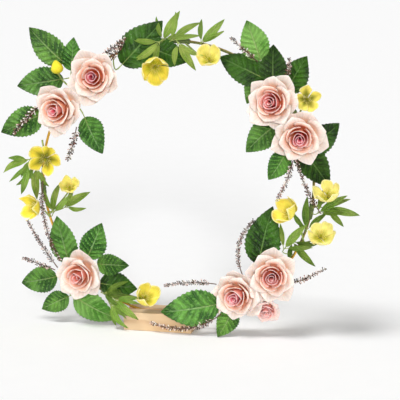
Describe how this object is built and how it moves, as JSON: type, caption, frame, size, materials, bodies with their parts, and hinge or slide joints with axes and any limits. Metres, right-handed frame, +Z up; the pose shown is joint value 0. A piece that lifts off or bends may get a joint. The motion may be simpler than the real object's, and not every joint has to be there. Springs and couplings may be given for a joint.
{
  "type": "wreath frame",
  "caption": "Round gold wire wreath hoop standing in a slotted pine block, dressed with peach roses, yellow hellebores, green leaves and heather sprigs.",
  "frame": {"origin": "centre of the block's bottom face, on the surface that the stand rests on", "axes": "+Z up; +X along the block and its slot; the hoop lies in the XZ plane and its flowers face -Y"},
  "size_m": [0.3981, 0.0543, 0.3466],
  "materials": {
    "gold_wire": "gloss",
    "pine": "satin",
    "floral_tape": "matte",
    "green_stem": "satin",
    "rose_petal": "matte",
    "hellebore_petal": "matte",
    "rose_leaf": "satin",
    "bract_leaf": "satin",
    "heather": "matte"
  },
  "bodies": {
    "stand": {"wood_stand": "pine"},
    "wreath": {"bracts_bottom": "bract_leaf", "bracts_left": "bract_leaf", "bracts_right": "bract_leaf", "bracts_top": "bract_leaf", "flower_stalks": "green_stem", "gold_hoop": "gold_wire", "heather_bottom_left": "heather", "heather_bottom_right": "heather", "heather_top_left": "heather", "heather_top_right": "heather", "hellebore_1": "hellebore_petal", "hellebore_10": "hellebore_petal", "hellebore_2": "hellebore_petal", "hellebore_3": "hellebore_petal", "hellebore_4": "hellebore_petal", "hellebore_5": "hellebore_petal", "hellebore_6": "hellebore_petal", "hellebore_7": "hellebore_petal", "hellebore_8": "hellebore_petal", "hellebore_9": "hellebore_petal", "hellebore_bud": "hellebore_petal", "leaf_bottom_left_1": "rose_leaf", "leaf_bottom_left_2": "rose_leaf", "leaf_bottom_left_3": "rose_leaf", "leaf_bottom_left_4": "rose_leaf", "leaf_bottom_left_5": "rose_leaf", "leaf_bottom_left_6": "rose_leaf", "leaf_bottom_left_7": "rose_leaf", "leaf_bottom_right_1": "rose_leaf", "leaf_bottom_right_2": "rose_leaf", "leaf_bottom_right_3": "rose_leaf", "leaf_top_1": "rose_leaf", "leaf_top_2": "rose_leaf", "leaf_top_left_1": "rose_leaf", "leaf_top_left_2": "rose_leaf", "leaf_top_left_3": "rose_leaf", "leaf_top_left_4": "rose_leaf", "leaf_top_left_5": "rose_leaf", "leaf_top_right_1": "rose_leaf", "leaf_top_right_2": "rose_leaf", "leaf_top_right_3": "rose_leaf", "leaf_top_right_4": "rose_leaf", "leaf_top_right_5": "rose_leaf", "leaf_top_right_6": "rose_leaf", "leaf_top_right_7": "rose_leaf", "leaf_top_right_8": "rose_leaf", "leaf_top_right_9": "rose_leaf", "rose_1": "rose_petal", "rose_2": "rose_petal", "rose_3": "rose_petal", "rose_4": "rose_petal", "rose_5": "rose_petal", "rose_6": "rose_petal", "rose_7": "rose_petal", "rose_small": "rose_petal", "stem_bundles": "green_stem", "tape_wraps": "floral_tape"}
  },
  "joints": [
    {"name": "hoop_lift", "type": "slide", "parent": "stand", "child": "wreath", "axis": [0, 0, 1], "range_m": [0, 0.06]}
  ]
}
